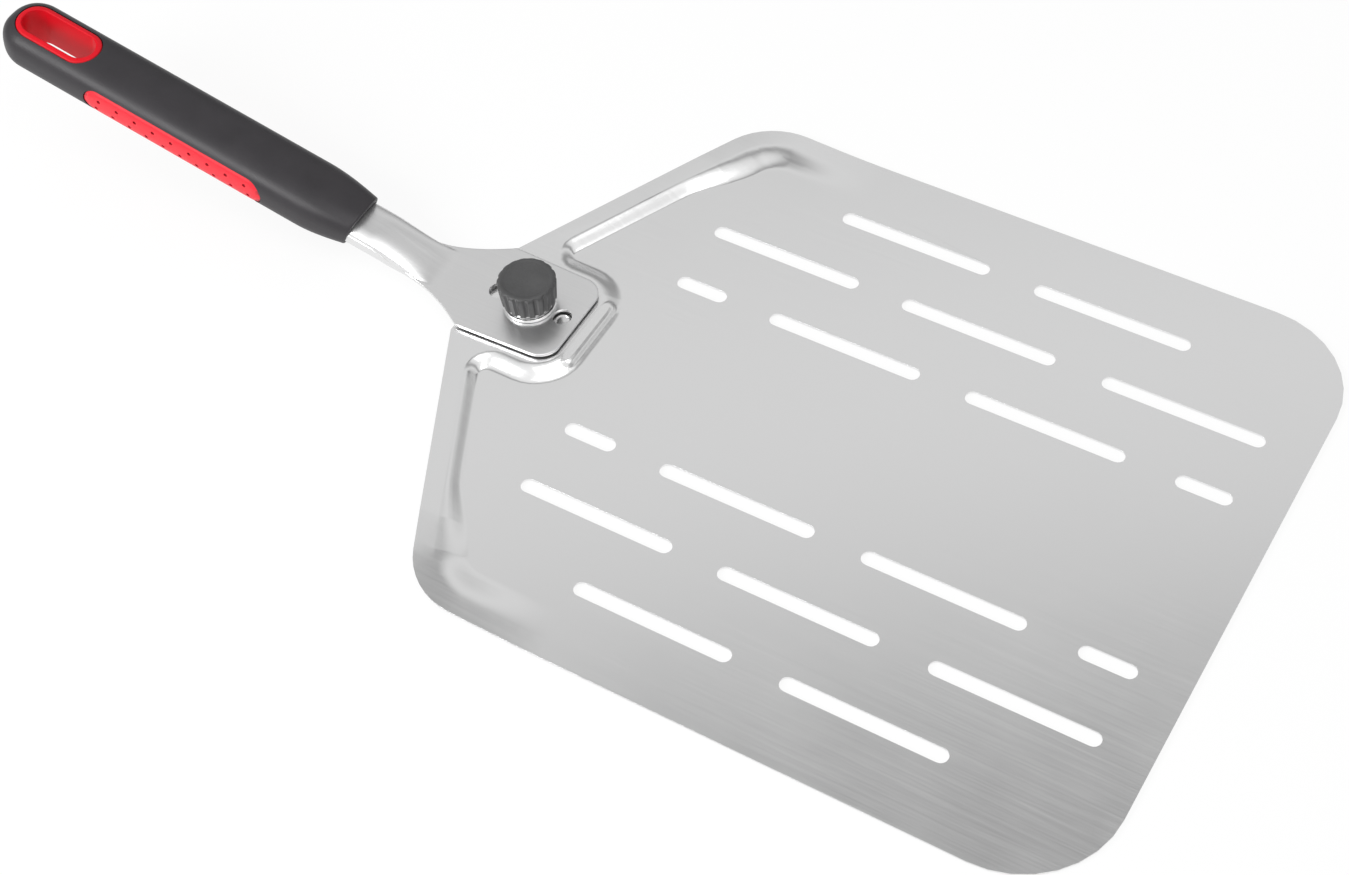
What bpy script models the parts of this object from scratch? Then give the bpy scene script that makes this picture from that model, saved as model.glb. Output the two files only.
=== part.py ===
"""Pizza peel: a slotted steel blade and a gripped handle that swings on a clamped pivot.

The origin is the centre of the slotted field, on the plane that the blade rests on.
+X runs to the blade's front edge, +Y to its left side and +Z up, in metres.
The rest pose has the clamp knob eased, so the tongue stands just clear of the index pin.
"""
import math

import bmesh
import bpy
from mathutils import Matrix, Vector

# Gap between pieces that touch
FIT = 0.0003

# Blade
BLADE_WIDTH = 0.3050
FRONT_REACH = 0.1543
SHEET = 0.0010
FRONT_CORNER_RADIUS = 0.0440
SHOULDER_CORNER_RADIUS = 0.0330
SHOULDER_ANGLE = math.radians(63.5)

# Slots in the blade
SLOT_WIDTH = 0.0070
LONG_SLOT = 0.0740
SHORT_SLOT = 0.0250
SLOT_PITCH = 0.0962
FIRST_SLOT_ROW = 0.0477
SLOT_ROW_STEP = 0.0344

# Boss that carries the joint
PIVOT_SETBACK = 0.1810
REAR_OVERHANG = 0.0249
BOSS_HEIGHT = 0.0040
BOSS_FLANK = 0.0095
BOSS_MARGIN = 0.0016
BOSS_CORNER_RADIUS = 0.0140

# Bead on the front flank of the boss
BEAD_HEIGHT = 0.0006
BEAD_PLACE = 0.0040
BEAD_WIDTH = 0.0052
BEAD_LENGTH = 0.0410
BEAD_EDGE = 0.0014

# Shelf along the shoulders, level with the boss and fading out along the sides
SHELF_MARGIN = 0.0084
SHELF_STEP = 0.0066
SHELF_ON_SIDE = 0.0430
SHELF_FADE = 0.0990
SHELF_INNER_RADIUS = 0.0120

# Index pin and pivot bolt
INDEX_RADIUS = 0.0170
PIN_DIAMETER = 0.0040
PIN_HEAD_DIAMETER = 0.0062
PIN_HEAD_HEIGHT = 0.0006
PIN_TAIL_HEIGHT = 0.0008
LIFT_CLEARANCE = 0.0002
BOLT_DIAMETER = 0.0080
BOLT_HEAD_DIAMETER = 0.0180
BOLT_HEAD_HEIGHT = 0.0024

# Shank: oval tube, pressed flat into the tongue
TONGUE_THICKNESS = 0.0016
TONGUE_FRONT = 0.0250
TONGUE_FRONT_WIDTH = 0.0486
TONGUE_REAR_WIDTH = 0.0518
TONGUE_CORNER_RADIUS = 0.0095
TONGUE_REAR = 0.0235
INDEX_HOLE_DIAMETER = 0.0087
PLAIN_TUBE = 0.0103
NECK_FLARE = 1.8
FLARE_END = 0.0630
BEND_POINT = 0.0745
BEND_LENGTH = 0.0130
SWELL_START = 0.0440
SWELL_END = 0.0805
HANDLE_RISE = math.radians(12.1)
TUBE_WIDTH = 0.0230
TUBE_HEIGHT = 0.0124
TUBE_CROWN_WIDTH = 0.0226
TUBE_ROUNDNESS = 3.6
TUBE_SIDE = 0.0056
TUBE_WALL = 0.0012
TUBE_IN_GRIP = 0.0700

# Grip
GRIP_START = 0.0913
GRIP_LENGTH = 0.2000
GRIP_WIDTH = 0.0320
GRIP_HEIGHT = 0.0245
GRIP_NOSE_LENGTH = 0.0270
GRIP_NOSE_WIDTH = 0.0250
GRIP_NOSE_HEIGHT = 0.0203
GRIP_ROUNDNESS = 2.8
GRIP_TIP_ROUNDNESS = 2.4
GRIP_ABOVE_TUBE = 0.0010
MOUTH_OVERHANG = math.radians(14.0)
SHELL_WALL = 0.0024
CORE_END_WALL = 0.0040
LOOP_LENGTH = 0.0450
LOOP_WIDTH = 0.0204
LOOP_FROM_TIP = 0.0295
LINER_WALL = 0.0026
PANEL_LENGTH = 0.1000
PANEL_HEIGHT = 0.0150
PANEL_DROP = 0.0010
PANEL_START = 0.0450
PANEL_DEPTH = 0.0014
GRIP_PIN_DIAMETER = 0.0040
GRIP_PIN_PLACE = 0.0480

# Clamp knob
WASHER_DIAMETER = 0.0240
WASHER_THICKNESS = 0.0015
COLLAR_DIAMETER = 0.0212
COLLAR_HEIGHT = 0.0014
INSERT_DIAMETER = 0.0140
INSERT_LENGTH = 0.0080
KNOB_DIAMETER = 0.0267
KNOB_HEIGHT = 0.0128
KNOB_TAPER = 0.0009
KNOB_CHAMFER = 0.0019
FLUTES = 18
FLUTE_DEPTH = 0.0007
BOLT_RELIEF = 0.0020

# Facets
ARC_STEPS = 8
ROUND_STEPS = 32
SECTION_POINTS = 32

# Heights and places that follow
HALF_WIDTH = BLADE_WIDTH / 2
PIVOT_X = -PIVOT_SETBACK
REAR_X = PIVOT_X - REAR_OVERHANG
BOSS_HALF = TONGUE_REAR_WIDTH / 2 + BOSS_MARGIN
BOSS_FRONT = PIVOT_X + TONGUE_FRONT + BOSS_MARGIN
SHOULDER_X = REAR_X + (HALF_WIDTH - BOSS_HALF) / math.tan(SHOULDER_ANGLE)
CORNER_X = SHOULDER_X + SHOULDER_CORNER_RADIUS * math.tan(SHOULDER_ANGLE / 2)
BOSS_TOP = BOSS_HEIGHT + SHEET
PIN_TOP = BOSS_TOP + FIT + PIN_HEAD_HEIGHT
TONGUE_BOTTOM = PIN_TOP + LIFT_CLEARANCE
TONGUE_TOP = TONGUE_BOTTOM + TONGUE_THICKNESS
WASHER_BOTTOM = TONGUE_TOP + FIT
INSERT_BOTTOM = WASHER_BOTTOM + WASHER_THICKNESS + FIT
COLLAR_TOP = INSERT_BOTTOM + COLLAR_HEIGHT
KNOB_BOTTOM = COLLAR_TOP + FIT
KNOB_TOP = KNOB_BOTTOM + KNOB_HEIGHT
INSERT_TOP = COLLAR_TOP + INSERT_LENGTH
BOLT_HOLE_RADIUS = BOLT_DIAMETER / 2 + FIT
NECK_END = GRIP_START - PLAIN_TUBE
LOOP_PLACE = GRIP_LENGTH - LOOP_FROM_TIP
CORE_START = GRIP_NOSE_LENGTH
CORE_END = LOOP_PLACE - LOOP_LENGTH / 2 - FIT - CORE_END_WALL

STEEL = ("steel", (0.68, 0.68, 0.68), 0.32, 1.0)
BRIGHT_STEEL = ("bright_steel", (0.80, 0.80, 0.80), 0.18, 1.0)
BLACK_RUBBER = ("black_rubber", (0.062, 0.058, 0.066), 0.55, 0.0)
BLACK_PLASTIC = ("black_plastic", (0.045, 0.045, 0.046), 0.45, 0.0)
CORE_PLASTIC = ("core_plastic", (0.10, 0.10, 0.10), 0.50, 0.0)
RED_RUBBER = ("red_rubber", (0.75, 0.02, 0.04), 0.45, 0.0)


def smooth(t):
    """Ease from 0 to 1."""
    t = min(max(t, 0.0), 1.0)
    return t * t * (3 - 2 * t)


def mix(low, high, t):
    """Value between low and high."""
    return low + (high - low) * t


def arc(centre, radius, start, end, steps=ARC_STEPS):
    """Points along an arc, ends included."""
    points = []
    for step in range(steps + 1):
        angle = mix(start, end, step / steps)
        points.append((centre[0] + radius * math.cos(angle), centre[1] + radius * math.sin(angle)))
    return points


def stadium(length, width, steps=ARC_STEPS):
    """Outline with two parallel sides and round ends, along X."""
    radius = width / 2
    reach = length / 2 - radius
    right = arc((reach, 0), radius, -math.pi / 2, math.pi / 2, steps)
    left = arc((-reach, 0), radius, math.pi / 2, 1.5 * math.pi, steps)
    return right + left


def make_material(name, colour, roughness, metallic):
    """Principled material with one colour."""
    material = bpy.data.materials.new(name)
    material.use_nodes = True
    shader = material.node_tree.nodes["Principled BSDF"]
    shader.inputs["Base Color"].default_value = (*colour, 1.0)
    shader.inputs["Roughness"].default_value = roughness
    shader.inputs["Metallic"].default_value = metallic
    return material


def add_object(name, bm, parent, collection):
    """Turn a bmesh into an object under its parent."""
    mesh = bpy.data.meshes.new(name)
    bm.to_mesh(mesh)
    bm.free()
    piece = bpy.data.objects.new(name, mesh)
    collection.objects.link(piece)
    piece.parent = parent
    return piece


def dress(piece, finish):
    """Give a piece its material and smooth shading with sharp edges kept."""
    name, colour, roughness, metallic = finish
    piece.data.materials.append(make_material(piece.name + "_" + name, colour, roughness, metallic))
    piece.data.shade_smooth()
    piece.data.set_sharp_from_angle(angle=math.radians(35))
    return piece


def make_cutter(name, bm, parent):
    """Object that only cuts or joins."""
    cutter = add_object(name, bm, parent, cutters)
    cutter.hide_render = True
    cutter.display_type = "WIRE"
    return cutter


def combine(piece, other, operation="DIFFERENCE"):
    """Boolean modifier with the exact solver."""
    modifier = piece.modifiers.new(operation.lower() + "_" + other.name, "BOOLEAN")
    modifier.operation = operation
    modifier.object = other
    modifier.solver = "EXACT"


def make_empty(name, location, parent=None, turn=0.0):
    """Empty that carries pieces, turned about Y."""
    empty = bpy.data.objects.new(name, None)
    empty.location = location
    empty.rotation_euler = (0, turn, 0)
    empty.parent = parent
    parts.objects.link(empty)
    return empty


def loft(rings, bm=None):
    """Closed skin through rings of equal count, with both ends capped, alone or added to a bmesh."""
    bm = bm or bmesh.new()
    loops = [[bm.verts.new(point) for point in ring] for ring in rings]
    count = len(loops[0])
    for lower, upper in zip(loops, loops[1:]):
        for i in range(count):
            j = (i + 1) % count
            bm.faces.new((lower[i], lower[j], upper[j], upper[i]))
    bm.faces.new(loops[0])
    bm.faces.new(loops[-1])
    bmesh.ops.recalc_face_normals(bm, faces=bm.faces)
    return bm


def prism(outline, low, high, across="Z", bm=None):
    """Outline extruded along Z, or laid on its side to run along Y."""
    if across == "Z":
        return loft([[Vector((x, y, z)) for x, y in outline] for z in (low, high)], bm)
    return loft([[Vector((x, z, y)) for x, y in outline] for z in (low, high)], bm)


def shifted(outline, dx=0.0, dy=0.0):
    """Outline moved in its plane."""
    return [(x + dx, y + dy) for x, y in outline]


def cylinder(radius, low, high, centre=(0.0, 0.0)):
    """Upright cylinder."""
    bm = bmesh.new()
    place = Matrix.Translation((centre[0], centre[1], (low + high) / 2))
    bmesh.ops.create_cone(bm, cap_ends=True, segments=ROUND_STEPS, radius1=radius, radius2=radius,
                          depth=high - low, matrix=place)
    return bm


def turned(name, profile, parent, collection, closed=False):
    """Profile of (radius, height) points, outer side running down, turned about Z."""
    bm = bmesh.new()
    verts = [bm.verts.new((radius, 0, height)) for radius, height in profile]
    for first, second in zip(verts, verts[1:]):
        bm.edges.new((first, second))
    if closed:
        bm.edges.new((verts[-1], verts[0]))
    piece = add_object(name, bm, parent, collection)
    screw = piece.modifiers.new("turn", "SCREW")
    screw.axis = "Z"
    screw.steps = ROUND_STEPS
    screw.render_steps = ROUND_STEPS
    screw.use_merge_vertices = True
    screw.merge_threshold = 0.00001
    return piece


def shelf_line(inset, end):
    """Points at an inset from the left edge: along the side, round the corner and up the shoulder."""
    side = HALF_WIDTH - inset
    points = [(CORNER_X + SHELF_ON_SIDE * (1 - i / 6), side) for i in range(6)]
    centre = (CORNER_X, HALF_WIDTH - SHOULDER_CORNER_RADIUS)
    points += arc(centre, SHOULDER_CORNER_RADIUS - inset, math.pi / 2, math.pi / 2 + SHOULDER_ANGLE)
    x, y = points[-1]
    points += [(mix(x, end[0], i / 6), mix(y, end[1], i / 6)) for i in range(1, 7)]
    return points


def shelf_fade():
    """Share of the boss's height along the shelf, from nothing at its end on the side."""
    run = 0.0
    fade = [0.0]
    edge = shelf_line(0.0, (REAR_X, BOSS_HALF))
    for first, second in zip(edge, edge[1:]):
        run += math.dist(first, second)
        fade.append(smooth(run / SHELF_FADE))
    return fade


def rear_curve(share):
    """Left half of a level curve of shelf and boss: 0 is the rim of the flat top and 1 the foot."""
    inset = SHELF_MARGIN + SHELF_STEP * share
    offset = BOSS_FLANK * share
    side = BOSS_HALF + offset
    slope = (math.cos(SHOULDER_ANGLE), math.sin(SHOULDER_ANGLE))
    along = (offset + inset * slope[0]) / slope[1]
    corner_x = REAR_X + inset * slope[1] + along * slope[0]
    radius = SHELF_INNER_RADIUS * mix(1.0, 0.2, share)
    tangent = radius / math.tan(SHOULDER_ANGLE / 2)
    points = shelf_line(inset, (corner_x + tangent * slope[0], side + tangent * slope[1]))
    inner = (corner_x + tangent, side + radius)
    points += arc(inner, radius, math.pi / 2 + SHOULDER_ANGLE, 1.5 * math.pi, 6)[1:]
    centre = (BOSS_FRONT - BOSS_CORNER_RADIUS, BOSS_HALF - BOSS_CORNER_RADIUS)
    points += [(mix(inner[0], centre[0], i / 4), side) for i in range(1, 4)]
    points += arc(centre, BOSS_CORNER_RADIUS + offset, math.pi / 2, 0)
    x, y = points[-1]
    return points + [(x, mix(y, 0, i / 8)) for i in range(1, 8)]


def bead_rise(x, y):
    """Height of the bead above the flank at a point."""
    radius = BEAD_WIDTH / 2
    along = max(abs(y) - BEAD_LENGTH / 2 + radius, 0.0)
    away = math.hypot(x - BOSS_FRONT - BEAD_PLACE, along)
    return BEAD_HEIGHT * smooth((radius - away) / BEAD_EDGE)


def strip(bm, lower, upper):
    """Quads between two rows of verts."""
    for i in range(len(lower) - 1):
        bm.faces.new((lower[i], lower[i + 1], upper[i + 1], upper[i]))


def rear_levels(bm, fade):
    """Rows of shelf and boss from their foot up to the flat top, skinned."""
    steps = 12
    levels = []
    for step in range(steps + 1):
        half = rear_curve(1 - step / steps)
        heights = fade + [1.0] * (len(half) - len(fade))
        points = half + [(half[-1][0], 0.0)] + [(x, -y) for x, y in reversed(half)]
        level = []
        for (x, y), height in zip(points, heights + [1.0] + heights[::-1]):
            rise = bead_rise(x, y) if 0 < step < steps else 0.0
            level.append(bm.verts.new((x, y, BOSS_HEIGHT * height * smooth(step / steps) + rise)))
        levels.append(level)
    for lower, upper in zip(levels, levels[1:]):
        strip(bm, lower, upper)
    return levels


def shelf_edge(bm, fade, side):
    """Row of verts on the blade's edge where the shelf runs."""
    line = shelf_line(0.0, (REAR_X, BOSS_HALF))
    return [bm.verts.new((x, y * side, BOSS_HEIGHT * height)) for (x, y), height in zip(line, fade)]


def slot_places():
    """Centre and length of each slot on the left half of the blade."""
    rows = [FIRST_SLOT_ROW + i * SLOT_ROW_STEP for i in range(3)]
    for sign in (-1, 1):
        yield sign * SLOT_PITCH * 1.25, rows[0], SHORT_SLOT
        yield sign * SLOT_PITCH / 2, rows[0], LONG_SLOT
        yield sign * SLOT_PITCH, rows[1], LONG_SLOT
        yield sign * SLOT_PITCH / 2, rows[2], LONG_SLOT
    yield 0.0, rows[1], LONG_SLOT


def edge_ring(bm, verts, closed=True):
    """Edges through verts in turn, made where they are missing."""
    pairs = list(zip(verts, verts[1:]))
    if closed:
        pairs.append((verts[-1], verts[0]))
    return [bm.edges.get(pair) or bm.edges.new(pair) for pair in pairs]


def flat_ring(bm, outline, z):
    """Closed ring of edges on an outline."""
    return edge_ring(bm, [bm.verts.new((x, y, z)) for x, y in outline])


def build_blade():
    """One sheet: flat field with slots, boss with bead, shelf along the shoulders."""
    bm = bmesh.new()
    fade = shelf_fade()
    levels = rear_levels(bm, fade)
    foot, top = levels[0], levels[-1]
    left_edge, right_edge = (shelf_edge(bm, fade, side) for side in (1, -1))
    strip(bm, left_edge, top)
    strip(bm, right_edge, top[::-1])
    radius = FRONT_CORNER_RADIUS
    front = arc((FRONT_REACH - radius, HALF_WIDTH - radius), radius, 0, math.pi / 2)
    rim = [bm.verts.new((x, y, 0)) for x, y in front] + left_edge[:1] + [level[0] for level in levels[::-1]]
    rim += foot[1:-1] + [level[-1] for level in levels] + right_edge[:1]
    rim += [bm.verts.new((x, -y, 0)) for x, y in reversed(front)]
    bmesh.ops.triangle_fill(bm, use_beauty=True, edges=edge_ring(bm, rim), normal=(0, 0, 1))
    last = len(fade) - 1
    plateau = edge_ring(bm, left_edge[-1:] + top[last:len(top) - last] + right_edge[-1:])
    neck = BOLT_HOLE_RADIUS
    square = [(PIVOT_X + x, y) for x, y in ((neck, neck), (-neck, neck), (-neck, -neck), (neck, -neck))]
    plateau += flat_ring(bm, square, BOSS_HEIGHT)
    pin_hole = arc((PIVOT_X + INDEX_RADIUS, 0), PIN_DIAMETER / 2 + FIT, 0, 2 * math.pi, 2 * ARC_STEPS)
    plateau += flat_ring(bm, pin_hole[:-1], BOSS_HEIGHT)
    bmesh.ops.triangle_fill(bm, use_beauty=True, edges=plateau, normal=(0, 0, 1))
    bmesh.ops.recalc_face_normals(bm, faces=bm.faces)
    if sum(face.normal.z for face in bm.faces) < 0:
        bmesh.ops.reverse_faces(bm, faces=bm.faces)
    blade = add_object("blade", bm, None, parts)
    skin = blade.modifiers.new("sheet", "SOLIDIFY")
    skin.thickness = SHEET
    skin.offset = 1
    skin.use_even_offset = True
    slots = bmesh.new()
    for side in (-1, 1):
        for x, y, length in slot_places():
            prism(shifted(stadium(length, SLOT_WIDTH), x, y * side), -SHEET, 2 * SHEET, bm=slots)
    combine(blade, make_cutter("slots", slots, None))
    return dress(blade, STEEL)


def build_index_pin():
    """Riveted pin with a domed head on the boss."""
    radius = PIN_DIAMETER / 2
    head = PIN_HEAD_DIAMETER / 2
    foot = BOSS_TOP + FIT
    tail = BOSS_HEIGHT - FIT
    profile = [(0, PIN_TOP), (head * 0.45, mix(foot, PIN_TOP, 0.9)), (head * 0.82, mix(foot, PIN_TOP, 0.55)),
               (head, foot), (radius, foot), (radius, tail), (head, tail), (head, tail - PIN_TAIL_HEIGHT),
               (0, tail - PIN_TAIL_HEIGHT)]
    pin = turned("index_pin", profile, None, parts)
    pin.location = (PIVOT_X + INDEX_RADIUS, 0, 0)
    return dress(pin, BRIGHT_STEEL)


def build_pivot_bolt(pivot):
    """Bolt with a low head in the hollow of the boss and a square neck in its hole."""
    radius = BOLT_DIAMETER / 2
    head = BOLT_HEAD_DIAMETER / 2
    under = BOSS_HEIGHT - FIT
    low = under - BOLT_HEAD_HEIGHT
    tip = radius * 0.2
    profile = [(0, INSERT_TOP), (radius - tip, INSERT_TOP), (radius, INSERT_TOP - tip), (radius, under),
               (head, under), (head * 0.94, mix(under, low, 0.55)), (head * 0.62, low), (0, low)]
    bolt = turned("pivot_bolt", profile, pivot, parts)
    neck = bmesh.new()
    bottom = mix(under, low, 0.5)
    size = Matrix.Diagonal((BOLT_DIAMETER, BOLT_DIAMETER, BOSS_TOP - bottom, 1))
    bmesh.ops.create_cube(neck, size=1, matrix=Matrix.Translation((0, 0, (BOSS_TOP + bottom) / 2)) @ size)
    combine(bolt, make_cutter("bolt_square_neck", neck, pivot), "UNION")
    return dress(bolt, BRIGHT_STEEL)


def shank_shape(reach):
    """Half width, underside and swell of the shank at a reach behind the pivot."""
    if reach < TONGUE_REAR:
        arc_start = TONGUE_CORNER_RADIUS - TONGUE_FRONT
        into = max(arc_start - reach, 0.0)
        corner = TONGUE_CORNER_RADIUS - math.sqrt(max(TONGUE_CORNER_RADIUS ** 2 - into ** 2, 0.0))
        share = (reach + TONGUE_FRONT) / (TONGUE_REAR + TONGUE_FRONT)
        width = mix(TONGUE_FRONT_WIDTH, TONGUE_REAR_WIDTH, share)
        half = width / 2 - corner
    else:
        share = min((reach - TONGUE_REAR) / (FLARE_END - TONGUE_REAR), 1.0)
        half = mix(TUBE_WIDTH, TONGUE_REAR_WIDTH, (1 - share) ** NECK_FLARE) / 2
    rise = math.tan(HANDLE_RISE)
    past = reach - BEND_POINT
    if abs(past) < BEND_LENGTH / 2:
        climb = rise * (past + BEND_LENGTH / 2) ** 2 / (2 * BEND_LENGTH)
    else:
        climb = rise * max(past, 0.0)
    return half, TONGUE_BOTTOM + climb, smooth((reach - SWELL_START) / (SWELL_END - SWELL_START))


def shank_ring(reach, grow=0.0):
    """Section of the shank, or of a hollow that is smaller or larger by grow: a dome over a flat foot."""
    half, bottom, swell = shank_shape(reach)
    half += grow
    crown_half = TUBE_CROWN_WIDTH / 2 + grow
    height = mix(TONGUE_THICKNESS, TUBE_HEIGHT, swell)
    base = mix(TONGUE_THICKNESS, TUBE_HEIGHT / 2, swell ** 2)
    side_top = mix(TONGUE_THICKNESS, (TUBE_HEIGHT + TUBE_SIDE) / 2, swell ** 2)
    side_low = (TUBE_HEIGHT - TUBE_SIDE) / 2 * swell ** 2
    steps = SECTION_POINTS // 2 - 1
    upper = []
    lower = []
    for step in range(steps + 1):
        y = -half * math.cos(math.pi * step / steps)
        bulge = max(1 - (abs(y) / crown_half) ** TUBE_ROUNDNESS, 0.0) ** (1 / TUBE_ROUNDNESS)
        top = max(side_top, mix(base, height, bulge)) + grow
        low = min(side_low, TUBE_HEIGHT / 2 * swell ** 2 * (1 - bulge)) - grow
        upper.append(Vector((-reach, y, bottom + top)))
        lower.append(Vector((-reach, y, bottom + low)))
    return upper + lower[::-1]


def shank_end():
    """Reach of the tube's end inside the grip."""
    return GRIP_START + TUBE_IN_GRIP * math.cos(HANDLE_RISE)


def shank_reaches():
    """Reaches of the shank's sections, closest together at the tongue's corners and in the neck."""
    corner = [-TONGUE_FRONT + TONGUE_CORNER_RADIUS * (1 - math.cos(a * math.pi / 12)) for a in range(7)]
    tongue = [mix(corner[-1], TONGUE_REAR, share) for share in (0.5, 1.0)]
    neck = [mix(TONGUE_REAR, NECK_END, (i + 1) / 12) for i in range(12)]
    return corner + tongue + neck + [shank_end()]


def build_shank(handle):
    """Tube that is pressed flat in front, with its bolt and index holes."""
    shank = add_object("shank", loft([shank_ring(reach) for reach in shank_reaches()]), handle, parts)
    hollow_start = mix(SWELL_START, SWELL_END, 0.6)
    stops = [mix(hollow_start, NECK_END, i / 4) for i in range(5)] + [shank_end() + TUBE_WALL]
    hollow = loft([shank_ring(reach, TUBE_WALL * -1) for reach in stops])
    combine(shank, make_cutter("tube_hollow", hollow, handle))
    for name, place, radius in (("bolt_hole", 0, BOLT_HOLE_RADIUS),
                                ("front_index_hole", INDEX_RADIUS, INDEX_HOLE_DIAMETER / 2),
                                ("rear_index_hole", -INDEX_RADIUS, INDEX_HOLE_DIAMETER / 2)):
        hole = cylinder(radius, TONGUE_BOTTOM - SHEET, TONGUE_TOP + SHEET, (place, 0))
        combine(shank, make_cutter(name, hole, handle))
    combine(shank, bpy.data.objects["grip_pin_bore"])
    return dress(shank, STEEL)


def grip_shape(place):
    """Half width and half height of the grip at a place behind its mouth."""
    nose = math.sin(min(place / GRIP_NOSE_LENGTH, 1.0) * math.pi / 2)
    half_width = mix(GRIP_NOSE_WIDTH, GRIP_WIDTH, nose) / 2
    half_height = mix(GRIP_NOSE_HEIGHT, GRIP_HEIGHT, nose) / 2
    into_end = max(place - GRIP_LENGTH + GRIP_WIDTH / 2, 0.0) / (GRIP_WIDTH / 2)
    tip = (1 - into_end ** GRIP_TIP_ROUNDNESS) ** (1 / GRIP_TIP_ROUNDNESS)
    return half_width * math.sqrt(1 - into_end ** 2), half_height * tip


def grip_ring(place, inset=0.0):
    """Section of the grip, smaller by inset."""
    half_width, half_height = grip_shape(place)
    lean = math.tan(MOUTH_OVERHANG) * max(1 - place / GRIP_NOSE_LENGTH, 0.0)
    power = 2 / GRIP_ROUNDNESS
    ring = []
    for i in range(SECTION_POINTS):
        angle = 2 * math.pi * i / SECTION_POINTS
        y = math.copysign(abs(math.cos(angle)) ** power, math.cos(angle)) * (half_width - inset)
        z = math.copysign(abs(math.sin(angle)) ** power, math.sin(angle)) * (half_height - inset)
        ring.append(Vector((lean * z - place, y, z)))
    return ring


def grip_places():
    """Places of the grip's sections, closest together at the nose and the tip."""
    nose = [GRIP_NOSE_LENGTH * i / 5 for i in range(6)]
    end_start = GRIP_LENGTH - GRIP_WIDTH / 2
    body = [mix(GRIP_NOSE_LENGTH, end_start, i / 4) for i in range(1, 5)]
    tip = [end_start + GRIP_WIDTH / 2 * math.sin(math.radians(angle)) for angle in (20, 38, 53, 66, 77, 85)]
    return nose + body + tip


def grip_body(inset=0.0, start=None, end=None):
    """Solid of the grip's outer form, or of part of it, inset from the surface."""
    if start is None:
        return loft([grip_ring(place, inset) for place in grip_places()])
    inner = [place for place in grip_places() if start < place < end]
    return loft([grip_ring(place, inset) for place in [start] + inner + [end]])


def panel_prism(side, grow=0.0):
    """Block with the outline of a side panel, reaching out through the side of the grip."""
    outline = stadium(PANEL_LENGTH + 2 * grow, PANEL_HEIGHT + 2 * grow)
    outline = shifted(outline, -PANEL_START - PANEL_LENGTH / 2, -PANEL_DROP)
    inner = GRIP_WIDTH / 2 - SHELL_WALL * 2
    return prism(outline, *sorted((side * inner, side * GRIP_WIDTH)), across="Y")


def loop_prism(grow):
    """Upright block with the outline of the hanging slot."""
    outline = shifted(stadium(LOOP_LENGTH + 2 * grow, LOOP_WIDTH + 2 * grow), -LOOP_PLACE)
    return prism(outline, -GRIP_HEIGHT, GRIP_HEIGHT)


def build_grip_pin(grip):
    """Cross pin through core and tube, and the cutter for its bores."""
    half = GRIP_WIDTH / 2 - SHELL_WALL - 2 * FIT
    lay = Matrix.Translation((-GRIP_PIN_PLACE, 0, 0)) @ Matrix.Rotation(math.pi / 2, 4, "X")
    pin = cylinder(GRIP_PIN_DIAMETER / 2, -half, half)
    pin.transform(lay)
    bore = cylinder(GRIP_PIN_DIAMETER / 2 + FIT, -GRIP_WIDTH, GRIP_WIDTH)
    bore.transform(lay)
    make_cutter("grip_pin_bore", bore, grip)
    return dress(add_object("grip_pin", pin, grip, parts), BRIGHT_STEEL)


def build_grip_core(handle, grip):
    """Hard former round the tube."""
    inset = SHELL_WALL + FIT
    core = add_object("grip_core", grip_body(inset, CORE_START + FIT, CORE_END - FIT), grip, parts)
    socket = [shank_ring(reach, FIT) for reach in (NECK_END, shank_end() + FIT)]
    combine(core, make_cutter("tube_socket", loft(socket), handle))
    combine(core, bpy.data.objects["grip_pin_bore"])
    return dress(core, CORE_PLASTIC)


def build_grip_shell(grip):
    """Soft outer grip with room for core, tube, side panels and loop liner."""
    shell = add_object("grip_shell", grip_body(), grip, parts)
    combine(shell, make_cutter("core_room", grip_body(SHELL_WALL, CORE_START, CORE_END), grip))
    combine(shell, bpy.data.objects["tube_socket"])
    combine(shell, make_cutter("loop_room", loop_prism(FIT), grip))
    for side, name in ((1, "left"), (-1, "right")):
        pocket = make_cutter("panel_room_" + name, panel_prism(side, FIT), grip)
        combine(pocket, bpy.data.objects["panel_floor_room"])
        combine(shell, pocket)
    return dress(shell, BLACK_RUBBER)


def build_side_grip(side, name, grip):
    """Soft panel that fills its pocket flush with the grip."""
    panel = add_object("side_grip_" + name, panel_prism(side), grip, parts)
    combine(panel, bpy.data.objects["grip_outside"], "INTERSECT")
    combine(panel, bpy.data.objects["panel_floor"])
    return dress(panel, RED_RUBBER)


def build_hang_loop_liner(grip):
    """Lining of the hanging slot, flush with the grip above and below."""
    liner = add_object("hang_loop_liner", loop_prism(0.0), grip, parts)
    combine(liner, bpy.data.objects["grip_outside"], "INTERSECT")
    combine(liner, make_cutter("hang_slot", loop_prism(-LINER_WALL), grip))
    return dress(liner, RED_RUBBER)


def build_grip_cutters(grip):
    """Forms that several pieces of the grip are trimmed with."""
    make_cutter("grip_outside", grip_body(), grip)
    start = PANEL_START - SHELL_WALL
    end = PANEL_START + PANEL_LENGTH + SHELL_WALL
    make_cutter("panel_floor", grip_body(PANEL_DEPTH, start, end), grip)
    make_cutter("panel_floor_room", grip_body(PANEL_DEPTH + FIT, start, end), grip)


def build_washer(pivot):
    """Flat ring between tongue and knob."""
    outer = WASHER_DIAMETER / 2
    top = WASHER_BOTTOM + WASHER_THICKNESS
    edge = WASHER_THICKNESS / 5
    profile = [(BOLT_HOLE_RADIUS, top), (outer - edge, top), (outer, top - edge), (outer, WASHER_BOTTOM),
               (BOLT_HOLE_RADIUS, WASHER_BOTTOM)]
    return dress(turned("clamp_washer", profile, pivot, parts, closed=True), BRIGHT_STEEL)


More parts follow.
